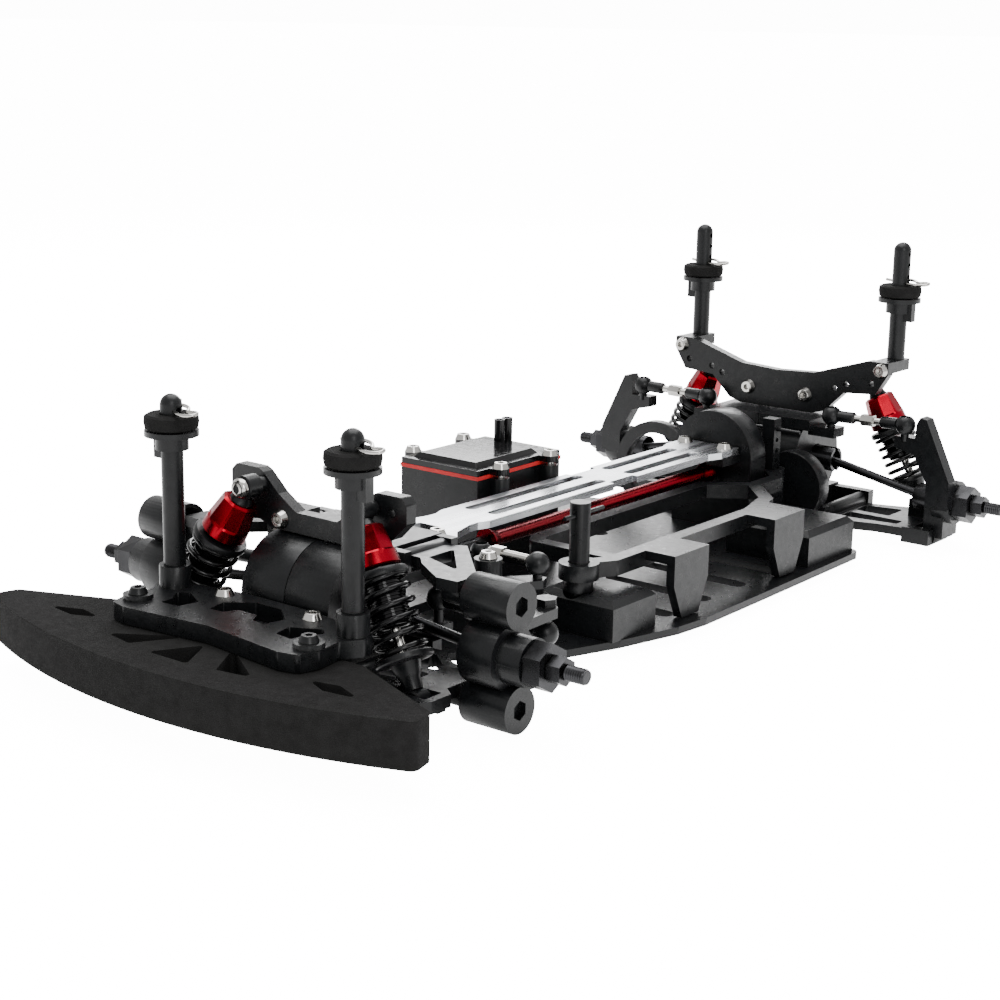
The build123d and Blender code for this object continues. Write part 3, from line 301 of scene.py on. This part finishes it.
def lathe(name, material, body, base, direction, profile, sides=48, flats=None):
    """Turned piece. The profile is (distance along the axis, radius) pairs in millimetres.

    flats maps a profile point's number to the sides of the polygon cut there.
    """
    across, other, ahead = axes_along(direction)
    base = Vector(base)
    flats = flats or {}
    built = bmesh.new()
    rings = []
    for index, (distance, radius) in enumerate(profile):
        ring = []
        for step in range(sides):
            angle = math.tau * step / sides
            reach = radius
            if index in flats:
                sector = math.tau / flats[index]
                inside = (angle + sector / 2) % sector - sector / 2
                reach = radius / math.cos(inside)
            out = across * math.cos(angle) + other * math.sin(angle)
            ring.append(built.verts.new(base + ahead * distance * MM + out * reach * MM))
        rings.append(ring)
    for low, high in zip(rings, rings[1:]):
        for step in range(sides):
            after = (step + 1) % sides
            built.faces.new((low[step], low[after], high[after], high[step]))
    if profile[0] != profile[-1]:
        built.faces.new(list(reversed(rings[0])))
        built.faces.new(rings[-1])
    else:
        bmesh.ops.remove_doubles(built, verts=built.verts, dist=1e-7)
    bmesh.ops.recalc_face_normals(built, faces=built.faces)
    mesh = bpy.data.meshes.new(name)
    built.to_mesh(mesh)
    built.free()
    return finish_mesh(name, mesh, material, body)


def tube(name, material, body, points, radius, closed=False, order=3):
    """Round wire along a smooth line through the points, in metres."""
    data = bpy.data.curves.new(name, "CURVE")
    data.dimensions = "3D"
    data.bevel_depth = radius
    data.bevel_resolution = 5
    data.use_fill_caps = True
    spline = data.splines.new("NURBS" if order > 2 else "POLY")
    spline.points.add(len(points) - 1)
    for slot, point in zip(spline.points, points):
        slot.co = (*point, 1)
    if order > 2:
        spline.order_u = order
        spline.use_endpoint_u = not closed
        spline.resolution_u = 8
    spline.use_cyclic_u = closed
    holder = bpy.data.objects.new(name, data)
    bpy.context.collection.objects.link(holder)
    shape = holder.evaluated_get(bpy.context.evaluated_depsgraph_get())
    mesh = bpy.data.meshes.new_from_object(shape)
    bpy.data.objects.remove(holder)
    return finish_mesh(name, mesh, material, body)


def coil(name, material, body, start, axis, length, radius, wire, turns):
    """Coil spring between two ends, with flattened end turns."""
    across, other, ahead = axes_along(axis)
    steps = int(turns * 24)
    points = []
    for step in range(steps + 1):
        share = step / steps
        eased = min(max((share * turns - 0.8) / (turns - 1.6), 0), 1)
        angle = math.tau * turns * share
        out = across * math.cos(angle) + other * math.sin(angle)
        rise = wire + (length - 2 * wire) * eased
        rise += wire * 2 * (min(share * turns, 0.8) / 0.8 - 1 + max(share * turns - turns + 0.8, 0) / 0.8)
        points.append(Vector(start) + ahead * rise + out * radius)
    return tube(name, material, body, points, wire, order=2)


def cut_from(node, name, material, keep, bevel=0.0002):
    """The separate solids of a CAD node that keep(middle, size) picks, as a piece of their own."""
    source = NODES[node]
    built = bmesh.new()
    built.from_mesh(source.data)
    bmesh.ops.remove_doubles(built, verts=built.verts, dist=0.000002)
    loose = set(built.verts)
    dropped = []
    while loose:
        island, edge = set(), [next(iter(loose))]
        while edge:
            vertex = edge.pop()
            if vertex in island:
                continue
            island.add(vertex)
            edge.extend(link.other_vert(vertex) for link in vertex.link_edges)
        loose -= island
        low = Vector([min(v.co[i] for v in island) for i in range(3)])
        high = Vector([max(v.co[i] for v in island) for i in range(3)])
        if not keep((low + high) / 2, high - low):
            dropped.extend(island)
    bmesh.ops.delete(built, geom=dropped, context="VERTS")
    bmesh.ops.dissolve_limit(built, angle_limit=math.radians(0.5), verts=built.verts, edges=built.edges)
    mesh = bpy.data.meshes.new(name)
    built.to_mesh(mesh)
    built.free()
    body = next(b for b, nodes in BODIES.items() if node in nodes)
    piece = finish_mesh(name, mesh, material, body, bevel)
    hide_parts(node)
    return piece


def joint(name):
    return next(j for j in frame["record"]["behaviour"]["joints"] if j["name"] == name)


# ---------------------------------------------------------------- shock absorbers
def make_shock(end, side):
    """Body, red cap, coil and rod between the swing pivot and the lower eye."""
    swing = joint(f"{end}_shock_swing_{side}")
    stroke = joint(f"{end}_shock_stroke_{side}")
    body, rod = f"{end}_shock_body_{side}", f"{end}_shock_rod_{side}"
    top = Vector(swing["pos_m"])
    axis = -Vector(stroke["axis"])
    low_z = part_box(rod)[0].z + 3.6 * MM
    length = (top.z - low_z) / abs(axis.z)
    mm = length / MM

    def eye(name, ride_on, centre, facing):
        profile = [(-2.6, 1.6), (-2.6, 3.2), (-2.3, 3.6), (2.3, 3.6), (2.6, 3.2), (2.6, 1.6), (-2.6, 1.6)]
        lathe(f"{name}_ring", BLACK, ride_on, centre, (0, facing, 0), profile)

    eye(f"{body}_eye", body, top, 1)
    neck = [(2.9, 2.6), (5.2, 3.6), (6.0, 4.3), (6.0, 0.5)]
    lathe(f"{body}_neck", BLACK, body, top, axis, neck, 40)
    cap = [(4.9, 0.5), (4.9, 4.4), (5.5, 5.0), (12.6, 6.1), (13.2, 6.7), (16.6, 6.9), (17.0, 6.5),
           (17.0, 0.5)]
    head = lathe(f"{body}_cap", RED, body, top, axis, cap, 96, {2: 8, 3: 8})
    head.data.set_sharp_from_angle(angle=math.radians(18))
    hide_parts(body)
    thread = [(17.0, 0.5), (17.0, 5.2)]
    turn = 17.4
    while turn < mm - 21.6:
        thread += [(turn, 5.5), (turn + 0.35, 5.5), (turn + 0.5, 5.05), (turn + 0.75, 5.05)]
        turn += 0.9
    thread += [(mm - 21, 5.3), (mm - 20.5, 4.2), (mm - 20.5, 0.5)]
    lathe(f"{body}_cylinder", GLOSS, body, top, axis, thread, 48)
    collar = [(18.0, 5.6), (18.0, 7.9), (18.6, 8.3), (19.6, 8.3), (20.0, 7.9), (20.0, 5.6), (18.0, 5.6)]
    lathe(f"{body}_collar", BLACK, body, top, axis, collar, 72)
    coil_start, coil_end = 20.1, mm - 13.1
    spring = coil(f"{end}_spring_{side}_coil", GLOSS, body, top + axis * coil_start * MM, axis,
                  (coil_end - coil_start) * MM, 7.1 * MM, 0.78 * MM, 6.5)
    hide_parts(f"{end}_spring_{side}")
    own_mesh(spring)
    shaft = [(mm - 28, 0.3), (mm - 28, 1.5), (mm - 4, 1.5), (mm - 4, 0.3)]
    steel = lathe(f"{rod}_shaft", STEEL, rod, top, axis, shaft, 32)
    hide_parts(rod)
    cup = [(mm - 13, 1.6), (mm - 13, 7.9), (mm - 12.6, 8.3), (mm - 11.6, 8.3), (mm - 11.2, 7.9),
           (mm - 10.8, 4.4), (mm - 7.5, 3.4),
           (mm - 6.5, 2.9), (mm - 3.2, 2.7), (mm - 3.2, 1.6), (mm - 13, 1.6)]
    lathe(f"{rod}_cup", BLACK, rod, top, axis, cup, 72)
    eye(f"{rod}_eye", rod, top + axis * length, 1)


# ---------------------------------------------------------------- links
def make_rod_link(node, ball_radius=3.7):
    """Turnbuckle with a bright middle between two black ball cups. Node and body share a name."""
    low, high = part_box(node)
    if node.endswith("right"):
        low.x, high.x = high.x, low.x
    inset = ball_radius * MM * (1 if node.endswith("left") else -1)
    y = (low.y + high.y) / 2
    ends = LINK_ENDS[node]
    start = Vector((low.x + inset, y, ends[0]))
    end = Vector((high.x - inset, y, ends[1]))
    axis = end - start
    span = axis.length / MM
    for label, origin, direction in (("inner", start, axis), ("outer", end, -axis)):
        stem = [(3.3, 0.4), (3.3, 2.2), (span * 0.3, 2.2), (span * 0.3 + 0.6, 1.8), (span * 0.3 + 0.6, 0.4)]
        lathe(f"{node}_{label}_stem", BLACK, node, origin, direction, stem, 32)
        bowl = []
        for step in range(15):
            angle = math.pi * (0.18 + 0.64 * step / 14)
            bowl.append((-math.cos(angle) * ball_radius, math.sin(angle) * ball_radius))
        bowl += [(bowl[-1][0], 2.0), (bowl[0][0], 2.0), bowl[0]]
        lathe(f"{node}_{label}_cup", BLACK, node, origin, (0, 0, 1), bowl, 48)
    middle = [(span * 0.3, 0.3), (span * 0.3, 1.3), (span * 0.42, 1.3), (span * 0.42, 2.0),
              (span * 0.58, 2.0), (span * 0.58, 1.3), (span * 0.7, 1.3), (span * 0.7, 0.3)]
    bright = lathe(f"{node}_turnbuckle", STEEL, node, start, axis, middle, 48, {3: 6, 4: 6})
    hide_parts(node)


# ---------------------------------------------------------------- body posts and clips
def wire_clip(name, body, centre, along, size=1.0):
    """Spring clip: a straight leg through the post and a waved leg round it, ending in an eye."""
    across = Vector((-along.y, along.x, 0))
    shape = [(-9, 0), (-4, 0), (4, 0), (8, 0), (11, 1.2), (12.6, 3.2), (11, 5.0), (8.6, 4.2), (7.2, 2.6),
             (4.6, 3.9), (2, 4.6), (-1.4, 4.4), (-4.4, 3.2), (-7.2, 3.6), (-9.4, 5.0)]
    points = []
    for forward, sideways in shape:
        point = centre + along * forward * MM * size + across * sideways * MM * size
        points.append(point + Vector((0, 0, 0.15 * abs(sideways) * MM)))
    return tube(name, STEEL, body, points, 0.55 * MM * size)


def make_posts():
    """Posts and collars; the wire clips are made on their own."""
    cut_from("body_posts", "body_posts_moulded", BLACK, lambda middle, size: size.z > 0.004, 0.0003)


def make_washers():
    """Foam rings, slightly squeezed and bellied."""
    node = NODES["foam_washers"]
    spots = {}
    for vertex in node.data.vertices:
        key = (vertex.co.x > 0, vertex.co.y > 0)
        spots.setdefault(key, []).append(vertex.co)
    for (left, rear), cloud in spots.items():
        low = Vector([min(c[i] for c in cloud) for i in range(3)])
        high = Vector([max(c[i] for c in cloud) for i in range(3)])
        base = Vector(((low.x + high.x) / 2, (low.y + high.y) / 2, low.z))
        top = (high.z - low.z) / MM
        name = f"foam_washer_{'rear' if rear else 'front'}_{'left' if left else 'right'}"
        reach = (high.x - low.x) / 2 / MM
        profile = [(0.1, 3.4), (0.1, reach - 1), (0.6, reach - 0.3), (top * 0.5, reach),
                   (top - 0.7, reach - 0.2), (top - 0.15, reach - 1.1),
                   (top - 0.4, reach - 3), (top - 0.2, 3.4), (0.1, 3.4)]
        ring = lathe(name, FOAM, "chassis", base, (0, 0, 1), profile, 72)
        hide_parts("foam_washers")
        along = Vector((math.cos(0.5), -math.sin(0.5), 0))
        clip = name.replace("foam_washer", "body_clip")
        wire_clip(clip, "chassis", base + Vector((0, 0, top * MM + 0.0009)), along)


def make_bumper():
    """Foam bumper: softened edges and the faint unevenness of cut foam."""
    source = NODES["bumper_foam"]
    built = bmesh.new()
    built.from_mesh(source.data)
    bmesh.ops.remove_doubles(built, verts=built.verts, dist=0.000002)
    bmesh.ops.dissolve_limit(built, angle_limit=math.radians(1), verts=built.verts, edges=built.edges)
    mesh = bpy.data.meshes.new("bumper_foam_block")
    built.to_mesh(mesh)
    built.free()
    piece = finish_mesh("bumper_foam_block", mesh, FOAM, "chassis")
    round_edges(piece, 0.0006, 3)
    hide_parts("bumper_foam")


# ---------------------------------------------------------------- screws, gasket, threads
def screw_head(name, body, base, facing, radius=3.0):
    """Bright button head round the dark end of a pin."""
    profile = [(0, 1.3), (0, radius), (0.7, radius), (1.5, radius * 0.83), (2.0, radius * 0.55),
               (2.05, 1.25), (1.2, 1.2), (0, 1.3)]
    lathe(name, STEEL, body, base, (0, facing, 0), profile, 48)


EYE_R = 3.6                     # outer radius of a shock's eye, millimetres
UPPER_BALL_RISE = 29.2          # upper pivot ball above the lower one
THREAD_PITCH = 0.75


def at_bumper_ring(middle):
    return middle.y < -0.14 and abs(middle.x) > 0.03


def make_shock_screws():
    for end, facing, reach in (("front", -1, 6.5), ("rear", 1, 7.5)):
        for side in SIDES:
            pivot = Vector(joint(f"{end}_shock_swing_{side}")["pos_m"])
            screw_head(f"{end}_shock_top_screw_{side}", "chassis",
                       pivot + Vector((0, facing * 2.95 * MM, 0)), facing)
            low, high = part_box(f"{end}_shock_rod_{side}")
            eye = Vector((high.x if side == "left" else low.x, (low.y + high.y) / 2, low.z + EYE_R * MM))
            eye.x -= (EYE_R if side == "left" else -EYE_R) * MM
            eye.y = (low.y + 2.6 * MM) if end == "front" else (high.y - 2.6 * MM)
            screw_head(f"{end}_shock_low_screw_{side}", f"{end}_lower_arm_{side}",
                       eye + Vector((0, facing * reach * MM, 0)), facing, 2.4)


def make_servo_link_rod():
    """Bright rod and hexagon over the middle of the servo link."""
    low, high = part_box("servo_link")
    middle = (low + high) / 2
    length = high.x / MM - low.x / MM - 14
    lathe("servo_link_rod", STEEL, "servo_link", (low.x + 7 * MM, middle.y, middle.z), (1, 0, 0),
          [(0, 0.4), (0, 1.78), (1.2, 1.78), (1.2, 2.2), (5.4, 2.2), (5.4, 1.78), (length, 1.78),
           (length, 0.4)], 48, {3: 6, 4: 6})


def make_pivot_collars(side, outward):
    """Thin bright rings where the front arms' pivot balls meet the knuckle."""
    seat_at = Vector(joint(f"pivot_seats_level_{side}")["pos_m"])
    for arm, rise in (("lower", 0), ("upper", UPPER_BALL_RISE)):
        base = Vector((outward * 53.2 * MM, seat_at.y, seat_at.z + rise * MM))
        lathe(f"front_{arm}_pivot_{side}", STEEL, f"front_{arm}_arm_{side}", base, (outward, 0, 0),
              [(0, 1.55), (0, 1.8), (0.5, 1.95), (1.1, 1.9), (1.5, 1.7), (1.6, 1.55), (0, 1.55)], 40)


def make_axle_threads(side, outward):
    """Thread ridges on the end of each axle, outside the wheel nut."""
    turns = []
    for turn in range(8):
        turns += [(turn * THREAD_PITCH + 0.1, 2.02), (turn * THREAD_PITCH + 0.4, 2.25)]
    for end in ("front", "rear"):
        hub = Vector(joint(f"{end}_axle_spin_{side}")["pos_m"])
        base = Vector((outward * 87.45 * MM, hub.y, hub.z))
        lathe(f"{end}_axle_thread_{side}", DARK_STEEL, f"{end}_axle_{side}", base, (outward, 0, 0),
              [(0, 1.9)] + turns + [(6.1, 2.02), (6.4, 1.7), (6.4, 0.4)], 32)


def make_small_metal():
    make_shock_screws()
    make_servo_link_rod()
    for side, outward in (("left", 1), ("right", -1)):
        make_pivot_collars(side, outward)
        make_axle_threads(side, outward)
    cut_from("fasteners", "fasteners_black", BLACK, lambda middle, size: at_bumper_ring(middle))
    cut_from("fasteners", "fasteners_bright", STEEL, lambda middle, size: not at_bumper_ring(middle))
    cut_from("receiver_lid", "receiver_gasket", RUBBER, lambda middle, size: size.z < 0.002, 0.0)
    cut_from("receiver_lid", "receiver_lid_moulded", GLOSS, lambda middle, size: size.z > 0.002, 0.0004)


BODIES = frame["record"]["behaviour"]["bodies"]
SLOT_OF = {material.name: name for name, material in SLOTS.items()}
SLOT_OF[RUBBER.name] = "red_aluminium"
LINK_ENDS = {
    "tie_rod_left": (0.0235, 0.0211), "tie_rod_right": (0.0235, 0.0211),
    "camber_link_left": (0.0444, 0.0450), "camber_link_right": (0.0444, 0.0450),
}

dress_nodes()
for side in SIDES:
    make_shock("front", side)
    make_shock("rear", side)
    make_rod_link(f"tie_rod_{side}")
    make_rod_link(f"camber_link_{side}")
make_posts()
make_washers()
make_bumper()
make_small_metal()
